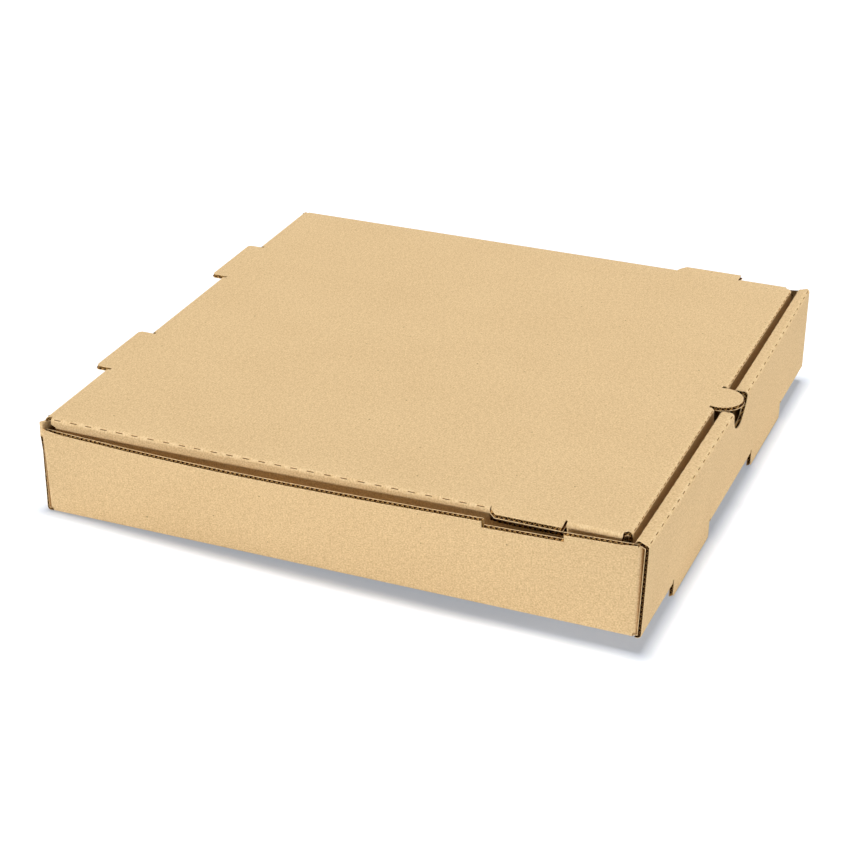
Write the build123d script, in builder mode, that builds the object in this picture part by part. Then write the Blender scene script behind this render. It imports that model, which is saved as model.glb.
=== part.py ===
"""Pizza box: one die-cut sheet of corrugated board, folded into a tray with a hinged lid."""

import os

from build123d import *

# Board
board = 2.0  # thickness of the corrugated board
ply_gap = 0.25  # room between plies that lie against each other
fold_lap = 4.0  # strip of flat panel drawn together with a fold

# Tray, measured over its outer faces; the origin is the centre of the floor's underside
tray_width = 313.0  # across the side walls
tray_depth = 315.0  # front wall to back wall
box_height = 51.0  # underside of the floor to the top of the lid
side_wall_drop = 3.0  # top edge of the side walls, below the top of the lid
left_bow = 6.0  # how far each side wall bellies out along its top edge
right_bow = 2.0
hinge_gap = 0.2  # between the back wall's top edge and the lid

# Corner flaps, folded in from both ends of each side wall
flap_length = 58.0
flap_lift = 1.0  # above the floor
flap_drop = 2.0  # below the side wall's top edge
flap_bevel = 9.0

# Roll-over front wall: outer panel, flat spine, inner panel
roll_drop = 1.0  # top of the spine, below the top of the lid
thumb_notch_radius = 12.6
lock_start = 40.5  # from the middle of the box to a lock slot
lock_length = 63.5
lock_gap = 0.3  # between the ends of a lock tab and its slot
lock_play = 1.5  # between a lock tab and the back edge of its slot
foot_round = 2.0

# Lid
lid_play = 4.1  # between each side crease and the outer face of the side wall
lid_setback = 8.4  # of the front crease, behind the front wall
lid_flap_clearance = 5.8  # under the side flaps, down to the floor
lid_flap_gap = 1.2  # between the ends of a side flap and the plies beside them
lid_flap_taper = 10.0
lid_flap_round = 8.0
front_flap_clearance = 17.0  # under the front flap, down to the floor
front_flap_gap = 1.2  # between the front flap and the side flaps
front_flap_taper = 6.0

# Tabs left standing in the plane of the lid by cuts across its creases
cut_gap = 0.5  # between a tab's outline and the cut-out that it leaves
thumb_radius = 12.0
side_tab_setback = 31.0  # from the lid's front crease
side_tab_length = 37.0
side_tab_reach = 4.2
side_tab_bevel = 3.5
wall_notch_depth = 3.6
back_tab_start = 42.0  # from the middle of the box
back_tab_length = 48.0
back_tab_reach = 7.5
back_tab_bevel = 2.0

# Faces and edges that follow from the sizes above
inner_x = tray_width / 2 - board
inner_y = tray_depth / 2 - board
flap_face = inner_y - ply_gap - board
roll_face = inner_y - 2 * ply_gap - board
slot_depth = 3 * board + 2 * ply_gap + lock_play
lock_middle = lock_start + lock_length / 2
side_wall_height = box_height - side_wall_drop
roll_height = box_height - roll_drop
lid_underside = box_height - board
lid_back = tray_depth / 2
lid_front = lid_setback - tray_depth / 2
lid_depth = lid_back - lid_front
lid_width = tray_width - 2 * lid_play
lid_inner_x = lid_width / 2 - board
lid_flap_height = lid_underside - board - lid_flap_clearance
front_flap_height = lid_underside - board - front_flap_clearance
side_tab_middle = lid_front + side_tab_setback + side_tab_length / 2
back_tab_middle = back_tab_start + back_tab_length / 2


def folded_board(*points):
    """Draw a folded board's section: the points run along its inner face, with the board on their left."""
    inner = [Vector(*point) for point in points]
    normals = [(end - start).normalized().rotate(Axis.Z, 90) for start, end in zip(inner, inner[1:])]
    mitres = [(a + b) / (1 + a.dot(b)) for a, b in zip(normals, normals[1:])]
    offsets = [normals[0], *mitres, normals[-1]]
    outer = [point + step * board for point, step in zip(inner, offsets)]
    with BuildLine() as section:
        inner_face = Polyline(*inner)
        outer_face = FilletPolyline(*outer, radius=board)
        Line(inner_face @ 0, outer_face @ 0)
        Line(inner_face @ 1, outer_face @ 1)
    make_face(section.edges())


# Front wall: one strip that rises from the floor, rolls over and comes down inside
with BuildPart() as front_wall:
    with BuildSketch(Plane.YZ):
        folded_board(
            (-inner_y + fold_lap, board),
            (-inner_y, board),
            (-inner_y, roll_height - board),
            (-roll_face, roll_height - board),
            (-roll_face, board + ply_gap),
        )
    extrude(amount=tray_width / 2, both=True)

    # The spine's ends slant so that the inner panel drops between the side walls
    with BuildSketch():
        with BuildLine():
            Polyline(
                (0, -tray_depth / 2),
                (tray_width / 2, -tray_depth / 2),
                (tray_width / 2, -inner_y),
                (inner_x - ply_gap, -roll_face),
                (inner_x - ply_gap, -inner_y + fold_lap),
                (0, -inner_y + fold_lap),
                close=True,
            )
        make_face()
        mirror(about=Plane.YZ)
    extrude(amount=box_height, mode=Mode.INTERSECT)

    # Feet hang from the outer panel, cut from the floor where the lock slots are
    with BuildSketch(Plane.XZ.offset(inner_y)):
        with Locations((lock_middle, (board - slot_depth) / 2)):
            foot = Rectangle(lock_length, board + slot_depth)
        fillet(foot.vertices().group_by(Axis.Y)[0], foot_round)
        mirror(about=Plane.YZ)
    extrude(amount=board)

    # Lock tabs on the inner panel stand in the slots, flush with the floor's underside
    with BuildSketch(Plane.XZ.offset(roll_face - board)):
        with Locations((lock_middle, board)):
            Rectangle(lock_length - 2 * lock_gap, 2 * board)
        mirror(about=Plane.YZ)
    extrude(amount=board)

    # Thumb notch through the roll-over
    with BuildSketch(Plane.XZ):
        with Locations((0, roll_height)):
            Circle(thumb_notch_radius)
    extrude(amount=tray_depth, mode=Mode.SUBTRACT)


def side_wall(bow):
    """Make the right-hand side wall: straight along the floor, bowed along its top, notched for the lid's tab."""
    with BuildPart() as wall:
        with BuildSketch(Plane.XZ):
            folded_board(
                (inner_x, board + fold_lap),
                (inner_x, board),
                (inner_x - fold_lap, board),
            )
        extrude(amount=flap_face, both=True)
        with BuildSketch(Plane.XY.offset(board + fold_lap)):
            with Locations((inner_x + board / 2, 0)):
                Rectangle(board, 2 * flap_face)
        with BuildSketch(Plane.XY.offset(side_wall_height)):
            with BuildLine():
                inside = ThreePointArc((inner_x, -flap_face), (inner_x + bow, 0), (inner_x, flap_face))
                outside = ThreePointArc(*[inside @ share + Vector(board, 0) for share in (0, 0.5, 1)])
                Line(inside @ 0, outside @ 0)
                Line(inside @ 1, outside @ 1)
            make_face()
        loft(ruled=True)
        with BuildSketch(Plane.YZ):
            with Locations((side_tab_middle, side_wall_height)):
                Rectangle(side_tab_length + 2 * cut_gap, 2 * wall_notch_depth)
        extrude(amount=tray_width / 2 + bow, mode=Mode.SUBTRACT)
    return wall.part


right_wall = side_wall(right_bow)
left_wall = side_wall(left_bow)

# Corner flaps: each turns in from the end of a side wall
with BuildPart() as corner_flaps:
    with BuildSketch(Plane.XY.offset(board + flap_lift)):
        folded_board(
            (inner_x, -flap_face + board),
            (inner_x, -flap_face),
            (inner_x - flap_length, -flap_face),
        )
    extrude(amount=side_wall_height - flap_drop - flap_lift - board)
    chamfer(corner_flaps.edges().filter_by(Axis.Y).group_by(Axis.X)[0], flap_bevel)
    mirror(about=Plane.YZ)
    mirror(about=Plane.XZ)

# Tray: floor, side walls with their corner flaps, back wall and front wall
with BuildPart() as tray:
    with BuildSketch():
        Rectangle(2 * inner_x, 2 * inner_y)
        with Locations((lock_middle, -inner_y), (-lock_middle, -inner_y)):
            Rectangle(lock_length, 2 * (slot_depth - board), mode=Mode.SUBTRACT)
    extrude(amount=board)

    # Back wall between the side walls' folds, with the cut-outs that the lid's back tabs leave
    with BuildSketch(Plane.YZ):
        folded_board(
            (inner_y, lid_underside - hinge_gap),
            (inner_y, board),
            (inner_y - fold_lap, board),
        )
    extrude(amount=inner_x, both=True)
    with BuildSketch(Plane.XZ.offset(-tray_depth / 2)):
        with Locations((back_tab_middle, lid_underside), (-back_tab_middle, lid_underside)):
            Rectangle(back_tab_length + 2 * cut_gap, 2 * (back_tab_reach + cut_gap))
    extrude(amount=board, mode=Mode.SUBTRACT)

    add(right_wall)
    mirror(left_wall, about=Plane.YZ)
    add(corner_flaps.part)
    add(front_wall.part)

# Front flap of the lid, with the half-round cut-out that the thumb tongue leaves
with BuildPart() as front_flap:
    with BuildSketch(Plane.YZ):
        folded_board(
            (lid_front + board, lid_underside - front_flap_height),
            (lid_front + board, lid_underside),
            (lid_front + board + fold_lap, lid_underside),
        )
    extrude(amount=lid_inner_x, both=True)
    with BuildSketch(Plane.XZ):
        with BuildLine():
            Polyline(
                (0, lid_underside),
                (lid_inner_x - front_flap_gap, lid_underside),
                (lid_inner_x - front_flap_gap - front_flap_taper, lid_underside - front_flap_height),
                (0, lid_underside - front_flap_height),
                close=True,
            )
        make_face()
        mirror(about=Plane.YZ)
        with Locations((0, lid_underside)):
            Circle(thumb_radius + cut_gap, mode=Mode.SUBTRACT)
        with Locations((0, lid_underside + board / 2)):
            Rectangle(2 * lid_inner_x, board)
    extrude(amount=tray_depth, both=True, mode=Mode.INTERSECT)

# Lid: top panel with its flaps, and the tabs that stand in its plane
with BuildPart() as lid:
    with BuildSketch(Plane.XZ.offset(-lid_back)):
        folded_board(
            (-lid_inner_x, lid_underside - lid_flap_height),
            (-lid_inner_x, lid_underside),
            (lid_inner_x, lid_underside),
            (lid_inner_x, lid_underside - lid_flap_height),
        )
    extrude(amount=lid_depth - board)

    # Seen from the side: flaps with tapered, rounded ends and the side tabs' cut-outs, under the panel
    with BuildSketch(Plane.YZ):
        with BuildLine():
            Polyline(
                (lid_front + board + lid_flap_gap, lid_underside),
                (lid_front + board + lid_flap_gap + lid_flap_taper, lid_underside - lid_flap_height),
                (flap_face - lid_flap_gap - lid_flap_taper, lid_underside - lid_flap_height),
                (flap_face - lid_flap_gap, lid_underside),
                close=True,
            )
        side_flap = make_face()
        fillet(side_flap.vertices().group_by(Axis.Y)[0], lid_flap_round)
        with Locations((side_tab_middle, lid_underside)):
            Rectangle(side_tab_length + 2 * cut_gap, 2 * (side_tab_reach + cut_gap), mode=Mode.SUBTRACT)
        with Locations((lid_back - lid_depth / 2, lid_underside + board / 2)):
            Rectangle(lid_depth, board)
    extrude(amount=lid_width / 2, both=True, mode=Mode.INTERSECT)

    add(front_flap.part)

    with BuildSketch(Plane.XY.offset(lid_underside)):
        with Locations((0, lid_front)):
            Circle(thumb_radius)
    extrude(amount=board)

    with BuildSketch(Plane.XY.offset(lid_underside)):
        with Locations((lid_inner_x, side_tab_middle)):
            side_tab = Rectangle(2 * (board + side_tab_reach), side_tab_length)
        chamfer(side_tab.vertices().group_by(Axis.Y)[-1].sort_by(Axis.X)[-1], side_tab_bevel)
        mirror(about=Plane.YZ)
    extrude(amount=board)

    with BuildSketch(Plane.XY.offset(lid_underside)):
        with Locations((back_tab_middle, lid_back)):
            back_tab = Rectangle(back_tab_length, 2 * back_tab_reach)
        chamfer(back_tab.vertices().group_by(Axis.Y)[-1], back_tab_bevel)
        mirror(about=Plane.YZ)
    extrude(amount=board)

os.makedirs("parts", exist_ok=True)
tray.part.label = "tray"
export_step(tray.part, "parts/tray.step")
lid.part.label = "lid"
export_step(lid.part, "parts/lid.step")
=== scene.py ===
"""Looks of a plain kraft pizza box: one die-cut corrugated sheet, folded, with flutes in its raw edges."""

import logging
import math
from abc import ABC, abstractmethod
from collections.abc import Callable, Iterable, Sequence
from dataclasses import dataclass, field
from enum import Enum
from functools import reduce
from typing import ClassVar

import bmesh
import bpy
import numpy as np
from mathutils import Matrix, Vector
from mathutils.geometry import delaunay_2d_cdt


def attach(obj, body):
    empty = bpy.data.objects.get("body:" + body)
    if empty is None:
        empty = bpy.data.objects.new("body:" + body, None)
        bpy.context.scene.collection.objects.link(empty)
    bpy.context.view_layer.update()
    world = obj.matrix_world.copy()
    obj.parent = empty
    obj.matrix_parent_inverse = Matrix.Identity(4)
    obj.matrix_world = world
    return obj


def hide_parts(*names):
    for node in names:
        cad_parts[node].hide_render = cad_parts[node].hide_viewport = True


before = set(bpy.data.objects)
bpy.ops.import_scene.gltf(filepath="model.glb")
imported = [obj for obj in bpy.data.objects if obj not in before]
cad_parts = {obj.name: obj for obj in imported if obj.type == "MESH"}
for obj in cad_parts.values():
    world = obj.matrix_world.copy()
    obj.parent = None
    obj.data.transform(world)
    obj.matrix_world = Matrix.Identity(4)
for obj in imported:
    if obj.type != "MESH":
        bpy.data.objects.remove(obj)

LOG = logging.getLogger("pizza_box")
MM = 0.001
FLAT_MAP = "blank"
WEAR_MAP = "fold_wear"

Point2 = tuple[float, float]
Point3 = tuple[float, float, float]
Colour = tuple[float, float, float]
Value = bpy.types.NodeSocket | float | tuple[float, ...] | str | bool | bpy.types.Material

UP: Point3 = (0.0, 0.0, 1.0)
DOWN: Point3 = (0.0, 0.0, -1.0)
TO_FRONT: Point3 = (0.0, -1.0, 0.0)
TO_BACK: Point3 = (0.0, 1.0, 0.0)

# Two places closer than this, in millimetres, count as one.
NEAR = 0.01
# Slack for rounding, in millimetres.
SLACK = 1e-6
# Points of a mesh closer than this, in metres, are welded.
WELD = 1e-6
# Steps per millimetre of the grid on which a sheet tells its points apart.
POINT_GRID = 500
# Share of a mesh step that grid points keep off an outline.
GRID_MARGIN = 0.4
# Least divisor in a corner, so that the way into the sheet doesn't grow too long there.
CORNER_LIMIT = 0.6
# A board looks a way when at least this share of its direction does.
FACING = 0.9
# Strongest bends that are still shaded smoothly.
BOARD_SMOOTH = math.radians(40)
FLUTE_SMOOTH = math.radians(50)


class Side(Enum):
    """The two sides of the box, by the sign of X."""

    LEFT = -1.0
    RIGHT = 1.0


class End(Enum):
    """The two ends of the box, by the sign of Y."""

    FRONT = -1.0
    BACK = 1.0


class Paper(Enum):
    """The papers that show on the board, by the number of their material."""

    LINER = 0
    # The board's inner paper in raw-edge grooves and slit floors, painted near-black brown as painted shade
    # of those recesses.
    INSIDE = 1
    FLUTING = 2


@dataclass(frozen=True)
class BoardStock:
    """The corrugated board, in millimetres.

    Args:
        thickness: Whole board.
        liner: Each of the two outer papers.
        groove: How deep a raw edge shows between the liners.
        flute_pitch: From crest to crest of the wavy paper.
        flute_paper: Thickness of the wavy paper.
        flute_recess: How far the wavy paper stays behind the cut.
        crushed_recess: How far it stays behind where the cut was crushed.
        slant: How far a raw edge is set back at the outer liner, where the die pressed in.
        fold_steps: Facets round a right-angled fold, an odd number.
        slit_depth: How deep a scored slit opens in a fold.
        wave_points: Points along one wave of the wavy paper.
        mesh_step: Longest edge of the panel meshes.
    """

    thickness: float = 2.0
    liner: float = 0.3
    groove: float = 2.4
    flute_pitch: float = 2.5
    flute_paper: float = 0.18
    flute_recess: float = 0.08
    crushed_recess: float = 1.2
    slant: float = 0.85
    fold_steps: int = 7
    slit_depth: float = 0.5
    wave_points: int = 10
    mesh_step: float = 8.0


def run_count(length: float, step: float) -> int:
    """Return how many equal runs, of at most the given step, a length takes."""
    return max(1, math.ceil(length / step - SLACK))


@dataclass(frozen=True)
class Crease:
    """A fold line between two marks on one axis, with slits scored along it.

    Args:
        start: First mark.
        end: Last mark.
        pitch: From slit to slit, or 0 for a plain crease.
        slit: Length of a slit.
        jitter: How far a slit strays from its place.
        wander: How fast the straying changes from slit to slit.
        facet: Facets from the middle of the fold to the slits.
        step: Longest run between two marks.
    """

    start: float
    end: float
    pitch: float = 0.0
    slit: float = 2.8
    jitter: float = 0.25
    wander: float = 2.4
    facet: int = 0
    step: float = 8.0

    def slits(self) -> list[Point2]:
        """Place the slits along the crease.

        Returns:
            The start and end of each slit.
        """
        if not self.pitch:
            return []
        length = self.end - self.start
        count = int(length // self.pitch)
        first = self.start + (length - (count - 1) * self.pitch) / 2
        strays = [self.jitter * math.sin(self.wander * i * i) for i in range(count)]
        middles = [first + self.pitch * i + stray for i, stray in enumerate(strays)]
        return [(middle - self.slit / 2, middle + self.slit / 2) for middle in middles]

    def marks(self) -> list[float]:
        """Mark the crease at its ends, at its slits and between them.

        Returns:
            Every mark, in order.
        """
        stops = sorted({self.start, self.end, *(mark for slit in self.slits() for mark in slit)})
        marks = [stops[0]]
        for a, b in zip(stops, stops[1:]):
            runs = run_count(b - a, self.step)
            marks += [a + (b - a) * i / runs for i in range(1, runs)] + [b]
        return marks

    def is_slit(self, a: float, b: float) -> bool:
        """Tell whether the run from a to b lies in a slit."""
        middle = (a + b) / 2
        return any(low < middle < high for low, high in self.slits())


def arc(centre: Point2, radius: float, start: float, end: float, count: int) -> list[Point2]:
    """Return points along a circular arc.

    Args:
        centre: Centre of the arc.
        radius: Its radius.
        start: First angle, in degrees.
        end: Last angle, in degrees.
        count: Number of steps.

    Returns:
        count + 1 points.
    """
    angles = np.radians(np.linspace(start, end, count + 1))
    return [(centre[0] + radius * math.cos(a), centre[1] + radius * math.sin(a)) for a in angles]


def rounded(before: Point2, corner: Point2, after: Point2, radius: float, count: int = 6) -> list[Point2]:
    """Return the points of a corner rounded between its two sides.

    Args:
        before: A point on the side that comes in.
        corner: The sharp corner.
        after: A point on the side that goes out.
        radius: Radius of the rounding.
        count: Number of steps.

    Returns:
        Points from one tangent point to the other.
    """
    tip = np.array(corner)
    a = np.array(before) - tip
    b = np.array(after) - tip
    a, b = a / np.linalg.norm(a), b / np.linalg.norm(b)
    half = math.acos(float(a @ b)) / 2
    middle = (a + b) / np.linalg.norm(a + b)
    centre = tip + middle * radius / math.sin(half)
    start, end = tip + a * radius / math.tan(half), tip + b * radius / math.tan(half)
    points = []
    for share in np.linspace(0, 1, count + 1):
        ray = (start - centre) * (1 - share) + (end - centre) * share
        points.append(tuple(float(c) for c in centre + ray / np.linalg.norm(ray) * radius))
    return points


def mirrored(half: Sequence[Point2]) -> list[Point2]:
    """Return a closed outline from its right half, which starts and ends on the middle line."""
    left = [(-u, v) for u, v in reversed(half) if abs(u) > SLACK]
    return [*half, *left]


class FoldedSheet:
    """A folded sheet of board, kept as points of its inner face with the direction through the board."""

    def __init__(self, stock: BoardStock) -> None:
        """Start an empty sheet.

        Args:
            stock: The board that it is cut from.
        """
        self.stock = stock
        self.points: list[Point3] = []
        self.normals: list[Point3] = []
        self.flat: list[Point2] = []
        self.wear: list[float] = []
        self.faces: list[tuple[int, ...]] = []
        self.slit_faces: set[int] = set()
        self.plain: set[int] = set()
        self.crushed: set[int] = set()
        self._index: dict[tuple[int, ...], int] = {}

    def vertex(self, point: Point3, normal: Point3, flat: Point2, wear: float = 0.0) -> int:
        """Return the number of a sheet point, adding it if it is new.

        Args:
            point: Place on the inner face, in millimetres.
            normal: Direction from the inner face to the outer one.
            flat: Place on the flat blank.
            wear: How much the fold there is rubbed, from 0 to 1.

        Returns:
            Index of the point.
        """
        key = tuple(round(c * POINT_GRID) for c in (*point, *normal))
        if key not in self._index:
            self._index[key] = len(self.points)
            self.points.append(point)
            self.normals.append(normal)
            self.flat.append(flat)
            self.wear.append(wear)
        return self._index[key]

    def turn(self, i: int, by: Point3) -> None:
        """Turn the outward direction at a sheet point by adding to it."""
        self.normals[i] = tuple((Vector(self.normals[i]) + Vector(by)).normalized())

    def _face(self, corners: Sequence[int]) -> None:
        """Add a face, turned so that it looks out through the board.

        Args:
            corners: Its points, in order.
        """
        half = self.stock.thickness / 2
        spots = [np.array(self.points[i]) + half * np.array(self.normals[i]) for i in corners]
        across = sum(np.cross(a - spots[0], b - spots[0]) for a, b in zip(spots[1:], spots[2:]))
        facing = float(across @ sum(np.array(self.normals[i]) for i in corners))
        self.faces.append(tuple(corners) if facing > 0 else tuple(reversed(corners)))

    def add_panel(
        self,
        outline: Sequence[Point2],
        place: Callable[[float, float], Point3],
        normal: Point3,
        unfold: Callable[[float, float], Point2],
    ) -> dict[Point2, int]:
        """Add a flat panel, meshed finely enough to bend a little.

        Args:
            outline: Closed outline on the panel's two axes.
            place: Turns a point of the panel into its place on the inner face.
            normal: Outward direction of the panel.
            unfold: Turns a point of the panel into its place on the flat blank.

        Returns:
            The sheet's point for each point of the outline.
        """
        step = self.stock.mesh_step
        ring: list[Point2] = []
        for (u0, v0), (u1, v1) in zip(outline, [*outline[1:], outline[0]]):
            runs = run_count(math.hypot(u1 - u0, v1 - v0), step)
            ring += [(u0 + (u1 - u0) * i / runs, v0 + (v1 - v0) * i / runs) for i in range(runs)]
        inner = self._fill(np.array(ring), step)
        spots = [*ring, *inner]
        edges = [(i, (i + 1) % len(ring)) for i in range(len(ring))]
        found = delaunay_2d_cdt([Vector(s) for s in spots], edges, [], 1, 10 * SLACK)
        ids = []
        for co, sources in zip(found[0], found[3]):
            u, v = spots[sources[0]] if sources else (co.x, co.y)
            ids.append(self.vertex(place(u, v), normal, unfold(u, v)))
        for triangle in found[2]:
            self._face([ids[i] for i in triangle])
        return {spot: self.vertex(place(*spot), normal, unfold(*spot)) for spot in ring}

    @staticmethod
    def _fill(ring: np.ndarray, step: float) -> list[Point2]:
        """Return grid points inside an outline, kept off its edges.

        Args:
            ring: The outline.
            step: Distance between the points.

        Returns:
            The points inside.
        """
        low, high = ring.min(0), ring.max(0)
        counts = [max(1, round(float(span) / step)) for span in high - low]
        axes = [np.linspace(low[k], high[k], counts[k] + 1)[1:-1] for k in (0, 1)]
        grid = np.array([(u, v) for u in axes[0] for v in axes[1]]).reshape(-1, 2)
        ends = np.roll(ring, -1, axis=0)
        keep = []
        for spot in grid:
            crossing = (ring[:, 1] > spot[1]) != (ends[:, 1] > spot[1])
            rise = np.where(crossing, ends[:, 1] - ring[:, 1], 1.0)
            reach = ring[:, 0] + (spot[1] - ring[:, 1]) / rise * (ends[:, 0] - ring[:, 0])
            if np.count_nonzero(crossing & (spot[0] < reach)) % 2 == 0:
                continue
            run = ends - ring
            share = np.clip(((spot - ring) * run).sum(1) / np.maximum((run * run).sum(1), SLACK**2), 0, 1)
            if np.linalg.norm(ring + share[:, None] * run - spot, axis=1).min() > GRID_MARGIN * step:
                keep.append((float(spot[0]), float(spot[1])))
        return keep

    def add_fold(
        self,
        crease: Crease,
        place: Callable[[float], Point3],
        first: Point3,
        last: Point3,
        unfold: Callable[[float, float], Point2],
    ) -> list[int]:
        """Add a right-angled fold along a crease.

        Args:
            crease: The fold line.
            place: Turns a mark into its place on the fold's inner corner.
            first: Outward direction of the panel before the fold.
            last: Outward direction of the panel after it.
            unfold: Turns a mark, and the share of the fold that is past, into a place on the flat blank.

        Returns:
            The sheet's points along the last edge of the fold.
        """
        steps = self.stock.fold_steps
        a, b = np.array(first), np.array(last)
        marks = crease.marks()
        rows = []
        for row in range(steps + 1):
            share = row / steps
            angle = math.pi / 2 * share
            normal = tuple(float(c) for c in math.cos(angle) * a + math.sin(angle) * b)
            wear = math.sin(math.pi * share)
            rows.append([self.vertex(place(m), normal, unfold(m, share), wear) for m in marks])
        for row in range(steps):
            for i, (start, end) in enumerate(zip(marks, marks[1:])):
                if row == steps // 2 + crease.facet and crease.is_slit(start, end):
                    self.slit_faces.add(len(self.faces))
                self._face([rows[row][i], rows[row][i + 1], rows[row + 1][i + 1], rows[row + 1][i]])
        return rows[-1]

    def rim(self) -> list[tuple[int, int]]:
        """Find the sheet's border.

        Returns:
            Its edges, each with the sheet on its left.
        """
        count: dict[tuple[int, int], int] = {}
        for face in self.faces:
            for i, j in zip(face, (*face[1:], face[0])):
                count[i, j] = count.get((i, j), 0) + 1
        return [edge for edge in count if (edge[1], edge[0]) not in count]

    def inward(self, points: np.ndarray, rim: Iterable[tuple[int, int]]) -> dict[int, np.ndarray]:
        """Return the direction into the sheet at each border point, longer in corners, none on plain edges.

        Args:
            points: Places of the sheet's points.
            rim: The border edges.

        Returns:
            A direction for each border point.
        """
        normals = np.array(self.normals)
        middle = points + normals * self.stock.thickness / 2
        sides: dict[int, list[np.ndarray]] = {}
        for i, j in rim:
            if i in self.plain and j in self.plain:
                continue
            run = middle[j] - middle[i]
            left = np.cross(normals[i] + normals[j], run)
            left /= np.linalg.norm(left)
            sides.setdefault(i, []).append(left)
            sides.setdefault(j, []).append(left)
        found = {i: np.zeros(3) for edge in rim for i in edge}
        for i, (a, b) in ((i, (s[0], s[-1])) for i, s in sides.items()):
            found[i] = (a + b) / max(1 + float(a @ b), CORNER_LIMIT)
        return found

    def edge_lines(self, name: str, points: np.ndarray) -> bpy.types.Mesh:
        """Draw the raw edges as lines that carry what the flutes need.

        Args:
            name: Name of the mesh.
            points: Places of the sheet's points, in millimetres.

        Returns:
            A mesh of edges in metres, with the attributes phase, across and inward.
        """
        stock = self.stock
        normals = np.array(self.normals)
        flat = np.array(self.flat)
        rim = self.rim()
        inward = self.inward(points, rim)
        spots, lines, phase, across, into = [], [], [], [], []
        known: dict[int, int] = {}
        recess = np.full(len(points), stock.slant / 2 + stock.flute_recess)
        recess[list(self.crushed)] = stock.slant / 2 + stock.crushed_recess

        def spot(i: int, j: int, share: float) -> int:
            """Add a point on the way between two sheet points, or find the one that is there.

            Args:
                i: First sheet point.
                j: Second sheet point.
                share: Share of the way.

            Returns:
                Index of the point.
            """
            if share == 0.0 and i in known:
                return known[i]
            normal = normals[i] * (1 - share) + normals[j] * share
            normal /= np.linalg.norm(normal)
            base = points[i] * (1 - share) + points[j] * share
            inner = inward[i] * (1 - share) + inward[j] * share
            back = recess[i] * (1 - share) + recess[j] * share
            spots.append((base + normal * (stock.thickness - stock.flute_paper) / 2 + inner * back) * MM)
            phase.append((flat[i, 1] * (1 - share) + flat[j, 1] * share) * MM)
            across.append(normal + inner * stock.slant / stock.thickness)
            into.append(inner * (stock.groove - back - stock.slant / 2) * MM)
            if share == 0.0:
                known[i] = len(spots) - 1
            return len(spots) - 1

        for i, j in rim:
            if i in self.plain and j in self.plain:
                continue
            waves = abs(flat[j, 1] - flat[i, 1]) / stock.flute_pitch
            runs = max(1, math.ceil(waves * stock.wave_points))
            row = [spot(i, j, k / runs) for k in range(runs)] + [spot(j, i, 0.0)]
            lines += list(zip(row, row[1:]))
        mesh = bpy.data.meshes.new(name)
        mesh.from_pydata([tuple(float(c) for c in s) for s in spots], lines, [])
        mesh.attributes.new("phase", "FLOAT", "POINT").data.foreach_set("value", phase)
        for label, values in (("across", across), ("inward", into)):
            layer = mesh.attributes.new(label, "FLOAT_VECTOR", "POINT")
            layer.data.foreach_set("vector", np.array(values, np.float32).ravel())
        return mesh


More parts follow.
